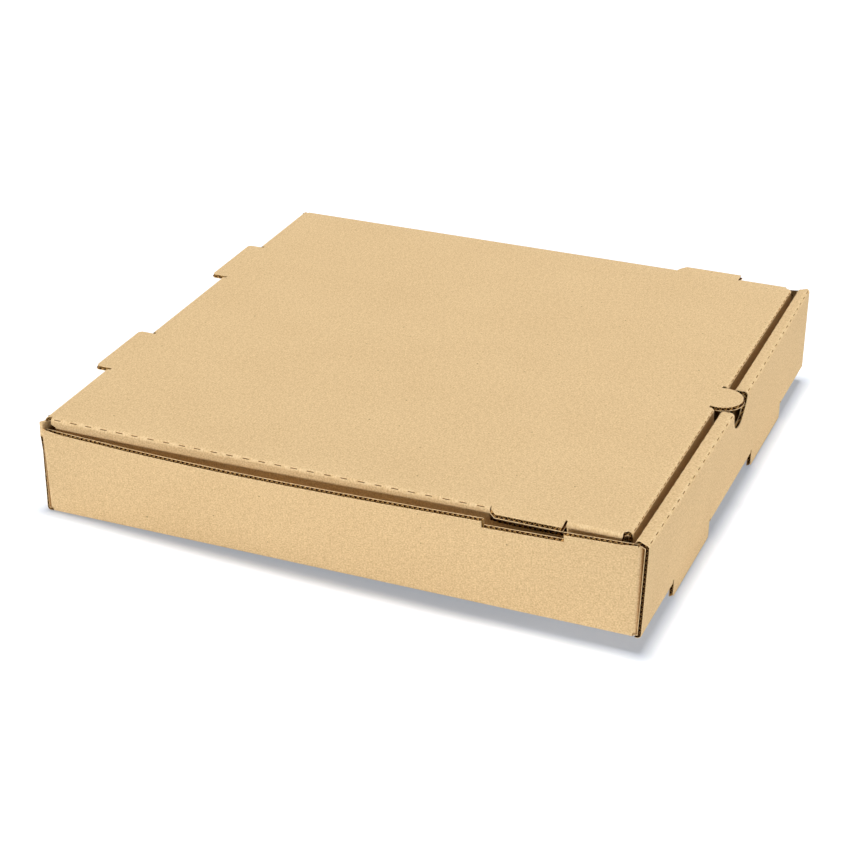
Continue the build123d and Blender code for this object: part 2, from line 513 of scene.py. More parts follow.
class BoardShell:
    """The closed skin of a folded sheet: both liners, the slits in its folds and its raw edges."""

    def __init__(self, sheet: FoldedSheet, points: np.ndarray) -> None:
        """Start with the points of both faces, the outer ones first.

        Args:
            sheet: The folded sheet.
            points: Places of its points, in millimetres.
        """
        self.sheet = sheet
        self.points = points
        self.normals = np.array(sheet.normals)
        self.count = len(points)
        self.spots = [*(points + self.normals * sheet.stock.thickness), *points]
        self.source = [*range(self.count), *range(self.count)]
        self.faces: list[tuple[int, ...]] = []
        self.papers: list[int] = []

    def _face(self, corners: Sequence[int], paper: Paper = Paper.LINER) -> None:
        """Add a face of one of the board's papers."""
        self.faces.append(tuple(corners))
        self.papers.append(paper.value)

    def _spot(self, i: int, place: np.ndarray) -> int:
        """Add a point that belongs to sheet point i, and return its number."""
        self.spots.append(place)
        self.source.append(i)
        return len(self.spots) - 1

    def _add_liners(self) -> None:
        """Add the inner and the outer face, with the slits sunk into the outer one and their floors in
        near-black painted shade.
        """
        floor = self.sheet.stock.thickness - self.sheet.stock.slit_depth
        sunk: dict[int, int] = {}
        slit_edges: list[tuple[int, int]] = []
        for number, corners in enumerate(self.sheet.faces):
            self._face([self.count + i for i in reversed(corners)])
            if number not in self.sheet.slit_faces:
                self._face(corners)
                continue
            for i in corners:
                if i not in sunk:
                    sunk[i] = self._spot(i, self.points[i] + self.normals[i] * floor)
            # The slit's floor takes the near-black paper: painted shade at the bottom of the slit.
            self._face([sunk[i] for i in corners], Paper.INSIDE)
            slit_edges += zip(corners, (*corners[1:], corners[0]))
        for i, j in slit_edges:
            if (j, i) not in slit_edges:
                self._face([i, j, sunk[j], sunk[i]], Paper.FLUTING)

    def _edge_ring(self, i: int, into: np.ndarray) -> tuple[int, int, int, int]:
        """Set the outer liner back at a border point, and add the points of its groove.

        Args:
            i: The border point.
            into: Direction into the sheet.

        Returns:
            The groove's points: outer edge, outer floor, inner floor and inner edge.
        """
        stock = self.sheet.stock
        slant = 0.0 if i in self.sheet.plain else stock.slant
        share = stock.liner / stock.thickness
        self.spots[i] = self.spots[i] + into * slant
        top = self.points[i] + self.normals[i] * (stock.thickness - stock.liner) + into * slant * (1 - share)
        low = self.points[i] + self.normals[i] * stock.liner + into * slant * share
        deep = into * stock.groove
        return self._spot(i, top), self._spot(i, top + deep), self._spot(i, low + deep), self._spot(i, low)

    def _add_edges(self) -> None:
        """Add the raw edges, with a groove between the liners where they aren't plain, painted near-black as
        painted shade deep in the board.
        """
        rim = self.sheet.rim()
        inward = self.sheet.inward(self.points, rim)
        ring = {i: self._edge_ring(i, into) for i, into in inward.items()}
        starts, ends = {}, {}
        for i, j in rim:
            (b0, c0, e0, f0), (b1, c1, e1, f1) = ring[i], ring[j]
            plain = i in self.sheet.plain and j in self.sheet.plain
            self._face([j, i, b0, b1])
            if plain:
                self._face([b1, b0, f0, f1])
            else:
                # The groove's walls and floor take the near-black paper: painted shade between the liners,
                # behind the flutes.
                for strip in ([b1, b0, c0, c1], [c1, c0, e0, e1], [e1, e0, f0, f1]):
                    self._face(strip, Paper.INSIDE)
            self._face([f1, f0, self.count + i, self.count + j])
            starts[i] = plain
            ends[j] = plain
        # Where a groove meets a plain edge, a cap in the same painted shade closes it.
        for i, (b, c, e, f) in ring.items():
            if starts[i] and not ends[i]:
                self._face([b, c, e, f], Paper.INSIDE)
            elif ends[i] and not starts[i]:
                self._face([b, f, e, c], Paper.INSIDE)

    def mesh(self, name: str) -> bpy.types.Mesh:
        """Put the skin together.

        Args:
            name: Name of the mesh.

        Returns:
            A closed mesh in metres, with a material for each of the board's papers.
        """
        self._add_liners()
        self._add_edges()
        mesh = bpy.data.meshes.new(name)
        mesh.from_pydata([tuple(float(c) * MM for c in s) for s in self.spots], [], self.faces)
        mesh.polygons.foreach_set("material_index", self.papers)
        self._mark(mesh)
        work = bmesh.new()
        work.from_mesh(mesh)
        bmesh.ops.remove_doubles(work, verts=work.verts, dist=WELD)
        bmesh.ops.dissolve_degenerate(work, edges=work.edges, dist=WELD / 10)
        bmesh.ops.delete(work, geom=[v for v in work.verts if not v.link_faces], context="VERTS")
        work.to_mesh(mesh)
        work.free()
        mesh.shade_smooth()
        mesh.set_sharp_from_angle(angle=BOARD_SMOOTH)
        return mesh

    def _mark(self, mesh: bpy.types.Mesh) -> None:
        """Give the mesh its map of the flat blank, and the wear of its folds on the outer face.

        Args:
            mesh: The mesh, with its points in the order of the spots.
        """
        places, wear = self.sheet.flat, self.sheet.wear
        flat = mesh.uv_layers.new(name=FLAT_MAP)
        corners = np.array([places[self.source[loop.vertex_index]] for loop in mesh.loops]) * MM
        flat.uv.foreach_set("vector", corners.astype(np.float32).ravel())
        rubbed = [wear[i] if k < self.count else 0.0 for k, i in enumerate(self.source)]
        mesh.attributes.new(WEAR_MAP, "FLOAT", "POINT").data.foreach_set("value", rubbed)


class NodeSheet:
    """A small helper that adds and links the nodes of a tree."""

    def __init__(self, tree: bpy.types.NodeTree) -> None:
        """Work on the given tree."""
        self.tree = tree

    def add(
        self, kind: str, links: dict[str | int, Value] | None = None, **settings: object
    ) -> bpy.types.Node:
        """Add a node.

        Args:
            kind: Its type.
            links: For each input, by name or number, a value or another node's output.
            settings: The node's own properties.

        Returns:
            The new node.
        """
        node = self.tree.nodes.new(kind)
        for key, value in settings.items():
            setattr(node, key, value)
        for key, value in (links or {}).items():
            self._feed(node.inputs[key], value)
        return node

    def _feed(self, socket: bpy.types.NodeSocket, value: Value) -> None:
        """Link an input to another node's output, or set its value.

        Args:
            socket: The input.
            value: An output or a plain value.
        """
        if isinstance(value, bpy.types.NodeSocket):
            self.tree.links.new(value, socket)
        else:
            socket.default_value = value

    def math(self, operation: str, *values: Value) -> bpy.types.NodeSocket:
        """Add a maths node on one to three values and return its output."""
        return self.add("ShaderNodeMath", dict(enumerate(values)), operation=operation).outputs[0]

    def total(self, *shares: tuple[Value, float]) -> bpy.types.NodeSocket:
        """Return the sum of some values, each times its share."""
        parts = [self.math("MULTIPLY", value, share) for value, share in shares]
        return reduce(lambda a, b: self.math("ADD", a, b), parts)

    def ramp(self, value: Value, low: float, high: float) -> bpy.types.NodeSocket:
        """Return value turned smoothly into 0 at low and 1 at high."""
        links = {"Value": value, "From Min": low, "From Max": high}
        return self.add("ShaderNodeMapRange", links, interpolation_type="SMOOTHSTEP").outputs["Result"]

    def blend(self, share: Value, a: Value, b: Value, how: str = "MIX") -> bpy.types.NodeSocket:
        """Mix two colours.

        Args:
            share: Share of the second colour.
            a: First colour.
            b: Second colour.
            how: Blender's name for the way to mix.

        Returns:
            The mixed colour.
        """
        node = self.add("ShaderNodeMix", data_type="RGBA", blend_type=how)
        for key, value in (("Factor_Float", share), ("A_Color", a), ("B_Color", b)):
            self._feed(next(s for s in node.inputs if s.identifier == key), value)
        return next(s for s in node.outputs if s.identifier == "Result_Color")


def flute_tree(material: bpy.types.Material) -> tuple[bpy.types.NodeTree, dict[str, str]]:
    """Build the tree that turns edge lines into wavy paper between the liners.

    Args:
        material: Finish of the wavy paper.

    Returns:
        The tree, and the identifier of each named input.
    """
    tree = bpy.data.node_groups.new("flute_waves", "GeometryNodeTree")
    face = tree.interface
    face.new_socket("Edges", in_out="INPUT", socket_type="NodeSocketGeometry")
    named = {}
    for label in ("Pitch", "Height", "Paper"):
        named[label] = face.new_socket(label, in_out="INPUT", socket_type="NodeSocketFloat").identifier
    face.new_socket("Flutes", in_out="OUTPUT", socket_type="NodeSocketGeometry")
    nodes = NodeSheet(tree)
    given = nodes.add("NodeGroupInput").outputs
    phase = nodes.add("GeometryNodeInputNamedAttribute", {"Name": "phase"}, data_type="FLOAT")
    across = nodes.add("GeometryNodeInputNamedAttribute", {"Name": "across"}, data_type="FLOAT_VECTOR")
    inward = nodes.add("GeometryNodeInputNamedAttribute", {"Name": "inward"}, data_type="FLOAT_VECTOR")
    turn = nodes.math("DIVIDE", phase.outputs["Attribute"], given["Pitch"])
    wave = nodes.math("SINE", nodes.math("MULTIPLY", turn, math.tau))
    rise = nodes.math("MULTIPLY", wave, nodes.math("MULTIPLY", given["Height"], 0.5))
    lift = nodes.add(
        "ShaderNodeVectorMath", {0: across.outputs["Attribute"], "Scale": rise}, operation="SCALE"
    )
    waved = nodes.add("GeometryNodeSetPosition", {"Geometry": given["Edges"], "Offset": lift.outputs[0]})
    ribbon = nodes.add(
        "GeometryNodeExtrudeMesh",
        {"Mesh": waved.outputs[0], "Offset": inward.outputs["Attribute"], "Offset Scale": 1.0},
        mode="EDGES",
    )
    thick = nodes.add(
        "GeometryNodeExtrudeMesh",
        {
            "Mesh": ribbon.outputs["Mesh"],
            "Offset": across.outputs["Attribute"],
            "Offset Scale": given["Paper"],
            "Individual": False,
        },
        mode="FACES",
    )
    under = nodes.add("GeometryNodeFlipFaces", {"Mesh": ribbon.outputs["Mesh"]})
    both = nodes.add("GeometryNodeJoinGeometry")
    tree.links.new(thick.outputs["Mesh"], both.inputs[0])
    tree.links.new(under.outputs[0], both.inputs[0])
    welded = nodes.add("GeometryNodeMergeByDistance", {"Geometry": both.outputs[0], "Distance": WELD})
    real = nodes.add("GeometryNodeRealizeInstances", {"Geometry": welded.outputs[0]})
    dressed = nodes.add("GeometryNodeSetMaterial", {"Geometry": real.outputs[0], "Material": material})
    nodes.add("NodeGroupOutput", {"Flutes": dressed.outputs[0]})
    return tree, named


def flute_piece(
    name: str, sheet: FoldedSheet, points: np.ndarray, material: bpy.types.Material
) -> bpy.types.Object:
    """Make the wavy paper that shows in a sheet's raw edges.

    Args:
        name: Name of the piece.
        sheet: The folded sheet.
        points: Places of its points.
        material: Finish of the wavy paper.

    Returns:
        A plain mesh object.
    """
    stock = sheet.stock
    piece = bpy.data.objects.new(name, sheet.edge_lines(name, points))
    bpy.context.scene.collection.objects.link(piece)
    tree, named = flute_tree(material)
    modifier = piece.modifiers.new("flutes", "NODES")
    modifier.node_group = tree
    modifier[named["Pitch"]] = stock.flute_pitch * MM
    modifier[named["Height"]] = (stock.thickness - 2 * stock.liner - stock.flute_paper) * MM
    modifier[named["Paper"]] = stock.flute_paper * MM
    baked = bpy.data.meshes.new_from_object(piece.evaluated_get(bpy.context.evaluated_depsgraph_get()))
    piece.modifiers.clear()
    piece.data = baked
    work = bmesh.new()
    work.from_mesh(baked)
    bmesh.ops.delete(work, geom=[e for e in work.edges if not e.link_faces], context="EDGES")
    bmesh.ops.recalc_face_normals(work, faces=work.faces)
    work.to_mesh(baked)
    work.free()
    baked.shade_smooth()
    baked.set_sharp_from_angle(angle=FLUTE_SMOOTH)
    return piece


def new_material(name: str) -> tuple[bpy.types.Material, NodeSheet]:
    """Make an empty material.

    Args:
        name: Name of the material.

    Returns:
        The material, and the helper for its nodes.
    """
    made = bpy.data.materials.new(name)
    made.use_nodes = True
    made.node_tree.nodes.clear()
    return made, NodeSheet(made.node_tree)


def paper_surface(
    nodes: NodeSheet, surface: dict[str, Value], height: bpy.types.NodeSocket, bump: float
) -> None:
    """End a material with a paper surface that has some relief.

    Args:
        nodes: The material's nodes.
        surface: Inputs of its shader, by name.
        height: Relief of the paper, from 0 to 1.
        bump: How far the relief stands up, in metres.
    """
    relief = nodes.add("ShaderNodeBump", {"Height": height, "Distance": bump, "Strength": 1.0})
    shader = nodes.add("ShaderNodeBsdfPrincipled", {**surface, "Normal": relief.outputs["Normal"]})
    nodes.add("ShaderNodeOutputMaterial", {"Surface": shader.outputs[0]})


@dataclass(frozen=True)
class PaperPattern:
    """How kraft paper varies over the flat blank, with waves per metre across and along the box.

    Args:
        grain: Waves of the fine grain.
        mottle: Waves of the coarser mottle.
        cloud: Waves of the faint clouds.
        long_fibre: Waves that make the fibres across the box.
        cross_fibre: Waves that make the fibres along it.
        patches: Waves of the patches that hold fibres.
        specks: Cells per metre that may hold a speck.
        softness: How much of the finer waves each noise keeps.
        grain_share: Share of the grain in the paper's swing of tone. The rest is mottle.
        cloud_share: Share of the clouds in it.
        tint: How far red, green and blue swing.
        long_band: Noise from which a fibre across the box shows, and where it is full.
        cross_band: The same for fibres along it.
        patch_band: The same for the patches.
        wear_band: The same for rubbed spots on a fold.
        fibre_depth: How far a fibre takes on the shade.
        speck_level: Share of the cells without a speck.
        speck_size: Radius of the largest speck, as a share of a cell.
        speck_depth: How far a speck takes on the shade.
        wear_tone: Colour of a rubbed fold.
        wear_depth: How far a rubbed fold takes it on.
        dull_swing: How far the roughness follows the mottle.
        relief: Shares of grain, mottle and long fibres in the paper's relief.
    """

    grain: Point3 = (1350.0, 1180.0, 1.0)
    mottle: Point3 = (420.0, 350.0, 1.0)
    cloud: Point3 = (28.0, 21.0, 1.0)
    long_fibre: Point3 = (170.0, 2600.0, 1.0)
    cross_fibre: Point3 = (2300.0, 210.0, 1.0)
    patches: Point3 = (95.0, 120.0, 1.0)
    specks: Point3 = (110.0, 110.0, 1.0)
    softness: float = 0.6
    grain_share: float = 0.75
    cloud_share: float = 0.08
    tint: Colour = (0.8, 1.0, 1.3)
    long_band: Point2 = (0.66, 0.80)
    cross_band: Point2 = (0.70, 0.84)
    patch_band: Point2 = (0.45, 0.7)
    wear_band: Point2 = (0.3, 0.75)
    fibre_depth: float = 0.35
    speck_level: float = 0.9
    speck_size: float = 0.055
    speck_depth: float = 0.75
    wear_tone: Colour = (0.86, 0.68, 0.44)
    wear_depth: float = 0.22
    dull_swing: float = 0.18
    relief: Point3 = (0.4, 0.6, 0.3)

    def group(self) -> bpy.types.NodeTree:
        """Build the shared paper effect, with its named inputs and outputs.

        Returns:
            The node group, the same one each time.
        """
        if "kraft_paper" in bpy.data.node_groups:
            return bpy.data.node_groups["kraft_paper"]
        tree = bpy.data.node_groups.new("kraft_paper", "ShaderNodeTree")
        inputs = {"Place": "Vector", "Tone": "Color", "Shade": "Color"}
        inputs |= {label: "Float" for label in ("Grain", "Roughness", "Wear")}
        outputs = {"Colour": "Color", "Roughness": "Float", "Height": "Float"}
        for way, sockets in (("INPUT", inputs), ("OUTPUT", outputs)):
            for label, kind in sockets.items():
                tree.interface.new_socket(label, in_out=way, socket_type=f"NodeSocket{kind}")
        nodes = NodeSheet(tree)
        given = nodes.add("NodeGroupInput").outputs
        grain = self._noise(nodes, given["Place"], self.grain, 2.0)
        mottle = self._noise(nodes, given["Place"], self.mottle, 3.0)
        cloud = self._noise(nodes, given["Place"], self.cloud, 3.0)
        long_fibre = self._noise(nodes, given["Place"], self.long_fibre, 2.0)
        cross_fibre = self._noise(nodes, given["Place"], self.cross_fibre, 2.0)
        patches = self._noise(nodes, given["Place"], self.patches, 1.0)

        swing = nodes.total((grain, self.grain_share), (mottle, 1 - self.grain_share))
        swing = nodes.math("MULTIPLY", nodes.math("SUBTRACT", swing, 0.5), given["Grain"])
        drift = nodes.math("MULTIPLY", given["Grain"], self.cloud_share)
        drift = nodes.math("MULTIPLY", nodes.math("SUBTRACT", cloud, 0.5), drift)
        level = nodes.math("ADD", swing, drift)
        tint = {k: nodes.math("MULTIPLY_ADD", level, share, 1.0) for k, share in enumerate(self.tint)}
        swung = nodes.add("ShaderNodeCombineColor", tint).outputs[0]
        colour = nodes.blend(1.0, given["Tone"], swung, "MULTIPLY")

        fibres = nodes.math(
            "MAXIMUM", nodes.ramp(long_fibre, *self.long_band), nodes.ramp(cross_fibre, *self.cross_band)
        )
        fibres = nodes.math("MULTIPLY", fibres, nodes.ramp(patches, *self.patch_band))
        colour = nodes.blend(nodes.math("MULTIPLY", fibres, self.fibre_depth), colour, given["Shade"])
        speck = nodes.math("MULTIPLY", self._specks(nodes, given["Place"]), self.speck_depth)
        colour = nodes.blend(speck, colour, given["Shade"])
        rubbed = nodes.math("MULTIPLY", given["Wear"], nodes.ramp(mottle, *self.wear_band))
        rubbed = nodes.math("MULTIPLY", rubbed, self.wear_depth)
        colour = nodes.blend(rubbed, colour, (*self.wear_tone, 1.0))

        dull = nodes.math("MULTIPLY", nodes.math("SUBTRACT", mottle, 0.5), self.dull_swing)
        dull = nodes.math("ADD", given["Roughness"], dull)
        height = nodes.total(*zip((grain, mottle, long_fibre), self.relief))
        nodes.add("NodeGroupOutput", {"Colour": colour, "Roughness": dull, "Height": height})
        return tree

    def _noise(
        self, nodes: NodeSheet, place: bpy.types.NodeSocket, waves: Point3, detail: float
    ) -> bpy.types.NodeSocket:
        """Add a noise.

        Args:
            nodes: The group's nodes.
            place: Place on the flat blank.
            waves: Waves per metre.
            detail: Number of finer layers.

        Returns:
            The noise, from 0 to 1.
        """
        spread = nodes.add("ShaderNodeVectorMath", {0: place, 1: waves}, operation="MULTIPLY")
        links = {"Vector": spread.outputs[0], "Scale": 1.0, "Detail": detail, "Roughness": self.softness}
        return nodes.add("ShaderNodeTexNoise", links, noise_dimensions="2D").outputs["Fac"]

    def _specks(self, nodes: NodeSheet, place: bpy.types.NodeSocket) -> bpy.types.NodeSocket:
        """Add the dark specks.

        Args:
            nodes: The group's nodes.
            place: Place on the flat blank.

        Returns:
            1 in a speck and 0 elsewhere.
        """
        spread = nodes.add("ShaderNodeVectorMath", {0: place, 1: self.specks}, operation="MULTIPLY")
        links = {"Vector": spread.outputs[0], "Scale": 1.0, "Randomness": 1.0}
        cell = nodes.add("ShaderNodeTexVoronoi", links, voronoi_dimensions="2D").outputs
        pick = nodes.add("ShaderNodeSeparateColor", {0: cell["Color"]}).outputs
        some = nodes.math("GREATER_THAN", pick[0], self.speck_level)
        size = nodes.math("MULTIPLY", some, nodes.math("MULTIPLY", pick[1], self.speck_size))
        return nodes.math("LESS_THAN", cell["Distance"], size)


@dataclass(frozen=True)
class KraftFinish:
    """Brown kraft paper with fine grain, fibres and specks.

    Args:
        name: Name of the material.
        tone: Colour of the paper.
        shade: Colour of its darker fibres and specks.
        roughness: How dull the paper is.
        gloss: How strongly it mirrors.
        grain: How strong the fine grain is.
        bump: How far the grain stands up, in metres.
        pattern: How the paper varies.
    """

    name: str
    tone: Colour
    shade: Colour
    roughness: float = 0.82
    gloss: float = 0.25
    grain: float = 1.15
    bump: float = 0.00005
    pattern: PaperPattern = PaperPattern()

    def material(self) -> bpy.types.Material:
        """Build the material.

        Returns:
            The finished material.
        """
        made, nodes = new_material(self.name)
        given = {
            "Place": nodes.add("ShaderNodeUVMap", uv_map=FLAT_MAP).outputs["UV"],
            "Tone": (*self.tone, 1.0),
            "Shade": (*self.shade, 1.0),
            "Grain": self.grain,
            "Roughness": self.roughness,
            "Wear": nodes.add("ShaderNodeAttribute", attribute_name=WEAR_MAP).outputs["Fac"],
        }
        paper = nodes.add("ShaderNodeGroup", given, node_tree=self.pattern.group()).outputs
        surface = {
            "Base Color": paper["Colour"],
            "Roughness": paper["Roughness"],
            "Specular IOR Level": self.gloss,
        }
        paper_surface(nodes, surface, paper["Height"], self.bump)
        return made


@dataclass(frozen=True)
class FlutingFinish:
    """The coarse brown paper of the board's core; in near-black it also serves as painted shade in grooves
    and slit floors.

    Args:
        name: Name of the material.
        tone: Colour of the paper.
        shade: Colour where it is darker.
        waves: Waves per metre of its blotches.
        detail: Number of finer layers in them.
        band: Noise from which the paper turns from shade to tone, and where it has done so.
        roughness: How dull it is.
        gloss: How strongly it mirrors.
        bump: How far the blotches stand up, in metres.
    """

    name: str
    tone: Colour
    shade: Colour
    waves: float = 900.0
    detail: float = 3.0
    band: Point2 = (0.3, 0.7)
    roughness: float = 0.92
    gloss: float = 0.15
    bump: float = 0.00006

    def material(self) -> bpy.types.Material:
        """Build the material.

        Returns:
            The finished material.
        """
        made, nodes = new_material(self.name)
        place = nodes.add("ShaderNodeTexCoord").outputs["Object"]
        spread = {"Vector": place, "Scale": self.waves, "Detail": self.detail}
        noise = nodes.add("ShaderNodeTexNoise", spread).outputs["Fac"]
        surface = {
            "Base Color": nodes.blend(nodes.ramp(noise, *self.band), (*self.shade, 1.0), (*self.tone, 1.0)),
            "Roughness": self.roughness,
            "Specular IOR Level": self.gloss,
        }
        paper_surface(nodes, surface, noise, self.bump)
        return made


KRAFT_LINER = KraftFinish("kraft_liner", (0.78, 0.56, 0.30), (0.30, 0.17, 0.065))
# Near-black brown, far darker than the board's paper: painted shade for the recesses of raw-edge grooves and
# slit floors.
BOARD_INSIDE_PAINTED_SHADE = FlutingFinish("board_inside_painted_shade", (0.10, 0.034, 0.008), (0.06, 0.020, 0.005))
KRAFT_FLUTING = FlutingFinish("kraft_fluting", (0.64, 0.37, 0.125), (0.46, 0.25, 0.075))


@dataclass
class Finishes:
    """The materials that the pieces share."""

    kraft: bpy.types.Material = field(default_factory=KRAFT_LINER.material)
    # Paper of the raw-edge grooves and slit floors, near-black as painted shade.
    inside: bpy.types.Material = field(default_factory=BOARD_INSIDE_PAINTED_SHADE.material)
    fluting: bpy.types.Material = field(default_factory=KRAFT_FLUTING.material)


@dataclass
class BoardPart(ABC):
    """A part of the box that is folded from board and rides on one body of the hinge.

    Args:
        stock: The board.
        finishes: The materials of its papers.
    """

    body: ClassVar[str]
    stock: BoardStock
    finishes: Finishes

    @abstractmethod
    def fold(self, sheet: FoldedSheet) -> None:
        """Add the part's panels and folds to an empty sheet."""

    @abstractmethod
    def settle(self, sheet: FoldedSheet) -> np.ndarray:
        """Return the places that the sheet's points take once the board has settled."""

    def build(self) -> list[bpy.types.Object]:
        """Make the board and its flutes, and set them on their body.

        Returns:
            Both pieces.
        """
        body = self.body
        sheet = FoldedSheet(self.stock)
        self.fold(sheet)
        points = self.settle(sheet)
        board = bpy.data.objects.new(f"{body}_board", BoardShell(sheet, points).mesh(f"{body}_board"))
        bpy.context.scene.collection.objects.link(board)
        self.dress(board)
        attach(board, body)
        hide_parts(body)
        flutes = flute_piece(f"{body}_flutes", sheet, points, self.finishes.fluting)
        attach(flutes, body)
        return [board, flutes]

    def dress(self, board: bpy.types.Object) -> None:
        """Give the board its papers, in the order of their numbers."""
        for material in (self.finishes.kraft, self.finishes.inside, self.finishes.fluting):
            board.data.materials.append(material)


@dataclass
class Tray(BoardPart):
    """The tray: floor, bellied side walls with corner flaps, back wall and roll-over front. Millimetres."""

    body: ClassVar[str] = "tray"
    # Inner faces of the walls from the middle, outer face of the side walls, and the gap beside a flap.
    inner_x: float = 154.5
    inner_y: float = 155.5
    outer_x: float = 156.5
    ear_gap: float = 0.15
    # Roll-over front: inner panel, thumb notch, lock tabs and their slots, feet, and slits in its creases.
    roll_face: float = 153.0
    roll_inner_x: float = 154.25
    roll_under: float = 48.0
    notch_radius: float = 12.6
    notch_steps: int = 14
    lock: Point2 = (40.5, 104.0)
    lock_tab: Point2 = (40.8, 103.7)
    slot_edge: float = 149.5
    cut: float = 0.25
    foot_drop: float = 8.0
    foot_round: float = 2.0
    slit_pitch: float = 8.4
    slit: float = 3.2
    # Side walls with a notch for the lid's tab, and the corner flaps at their ends.
    wall_top: float = 48.0
    wall_notch: Point2 = (-118.6, -80.6)
    wall_notch_depth: float = 3.6
    post_span: Point2 = (2.4, 47.0)
    flap_face: float = 153.25
    flap_length: float = 58.0
    flap_neck: float = 4.0
    flap_span: Point2 = (3.0, 46.0)
    flap_bevel: float = 9.0
    # Back wall, cut out for the lid's back tabs.
    back_top: float = 48.98
    back_end: float = 156.3
    back_end_top: float = 154.3
    back_slot: Point2 = (41.5, 90.5)
    back_slot_depth: float = 8.0
    hinge_end: float = 151.8
    # Belly of the side walls, and droop of the left one: at its middle, from end to end, and its sway.
    bow_start: float = 6.0
    bow_curl: float = 1.8
    bows: dict[Side, float] = field(default_factory=lambda: {Side.LEFT: 6.0, Side.RIGHT: 2.0})
    droop: Point3 = (0.5, 1.35, 0.5)
    # Lean of the front, outside (middle, tilt, curve) and inside (ends, swell), and where it fades in.
    lean_out: Point3 = (2.3, 0.675, 1.225)
    lean_in: Point2 = (0.55, 0.8)
    lean_start: float = 138.0
    lean_run: float = 12.0
    # Left back corner, pushed back at foot and head, and where the push fades in across and along the box.
    push: Point2 = (0.5, 2.2)
    push_start: Point2 = (150.0, 115.0)
    push_run: Point2 = (4.5, 40.0)

    def fold(self, sheet: FoldedSheet) -> None:
        """Add the tray's panels and folds, and mark where its raw edges are crushed.

        Args:
            sheet: The sheet to add to.
        """
        self._floor(sheet)
        self._front(sheet)
        self._back(sheet)
        for side in Side:
            self._side(sheet, side)
        for i, (x, y, z) in enumerate(sheet.points):
            in_foot = z < self.stock.thickness and min(abs(abs(x) - mark) for mark in self.lock) < NEAR
            if y < -self.roll_face and (in_foot or abs(x) > self.outer_x - NEAR):
                sheet.crushed.add(i)

    def _front_creases(self) -> list[Crease]:
        """Return the right-hand creases between the floor and the front wall."""
        return [Crease(0.0, self.lock[0] - self.cut), Crease(self.lock[1] + self.cut, self.outer_x)]

    def _floor(self, sheet: FoldedSheet) -> None:
        """Add the floor and the folds along its front and back.

        Args:
            sheet: The sheet to add to.
        """
        board, x, y = self.stock.thickness, self.inner_x, self.inner_y
        ear = self.flap_face + self.ear_gap
        middle, outer = self._front_creases()
        back = Crease(0.0, self.back_end)
        side = Crease(-self.flap_face, self.flap_face)
        half = [(m, -y) for m in middle.marks()]
        half += [(middle.end, -self.slot_edge), (outer.start, -self.slot_edge)]
        half += [(m, -y) for m in outer.marks()]
        half += [(self.outer_x, -ear), (x, -ear)]
        half += [(x, m) for m in side.marks()]
        half += [(x, ear), (self.back_end, ear)]
        half += [(m, y) for m in reversed(back.marks())]
        sheet.add_panel(mirrored(half), lambda u, v: (u, v, board), DOWN, lambda u, v: (u, v))
        for sign in (-1.0, 1.0):
            for crease in (middle, outer):
                sheet.add_fold(
                    crease,
                    lambda m: (sign * m, -y, board),
                    DOWN,
                    TO_FRONT,
                    lambda m, share: (sign * m, -y - board * share),
                )
            sheet.add_fold(
                back,
                lambda m: (sign * m, y, board),
                DOWN,
                TO_BACK,
                lambda m, share: (sign * m, y + board * share),
            )

    def _roll_notch(self) -> list[Point2]:
        """Draw the right half of the thumb notch.

        Returns:
            Points from the crease down to the middle line.
        """
        rise = self.roll_under + self.stock.thickness
        start = -math.degrees(math.asin(self.stock.thickness / self.notch_radius))
        notch = arc((0.0, rise), self.notch_radius, start, -90.0, self.notch_steps)
        return [*notch[:-1], (0.0, notch[-1][1])]

    def _roll_creases(self) -> tuple[Crease, Crease]:
        """Place the right-hand creases of the roll-over front.

        Returns:
            The creases before and after its spine.
        """
        start = self._roll_notch()[0][0]
        return (
            Crease(start, self.outer_x, self.slit_pitch, self.slit),
            Crease(start, self.roll_inner_x, self.slit_pitch, self.slit),
        )

    def _front(self, sheet: FoldedSheet) -> None:
        """Add the roll-over front: outer panel with feet, spine, and inner panel with lock tabs.

        Args:
            sheet: The sheet to add to.
        """
        board, y, top, face = self.stock.thickness, self.inner_y, self.roll_under, self.roll_face
        crest, inner = self._roll_creases()
        crest_flat = -y - top
        inner_flat = crest_flat - board - (y - face)
        sheet.add_panel(
            self._outer_outline(), lambda u, v: (u, -y, v), TO_FRONT, lambda u, v: (u, -y - v)
        )
        for sign in (-1.0, 1.0):
            sheet.add_fold(
                crest,
                lambda m: (sign * m, -y, top),
                TO_FRONT,
                UP,
                lambda m, share: (sign * m, crest_flat - board * share),
            )
            spine = [(sign * m, -y) for m in crest.marks()]
            spine += [(sign * m, -face) for m in reversed(inner.marks())]
            sheet.add_panel(
                spine, lambda u, v: (u, v, top), UP, lambda u, v: (u, crest_flat - board - (v + y))
            )
            sheet.add_fold(
                inner,
                lambda m: (sign * m, -face, top),
                UP,
                TO_BACK,
                lambda m, share: (sign * m, inner_flat - board * share),
            )
        sheet.add_panel(
            self._inner_outline(),
            lambda u, v: (u, -face, v),
            TO_BACK,
            lambda u, v: (u, inner_flat - board - top + v),
        )

    def _outer_outline(self) -> list[Point2]:
        """Return the outline of the front's outer panel, with its feet.

        Returns:
            Points across the box and up.
        """
        board, low = self.stock.thickness, -self.foot_drop
        left, right = self.lock
        middle, outer = self._front_creases()
        half = [(m, board) for m in middle.marks()]
        half += [(left, board)]
        half += rounded((left, board), (left, low), (right, low), self.foot_round)
        half += rounded((left, low), (right, low), (right, board), self.foot_round)
        half += [(right, board)]
        half += [(m, board) for m in outer.marks()]
        half += [(m, self.roll_under) for m in reversed(self._roll_creases()[0].marks())]
        return mirrored([*half, *self._roll_notch()[1:]])

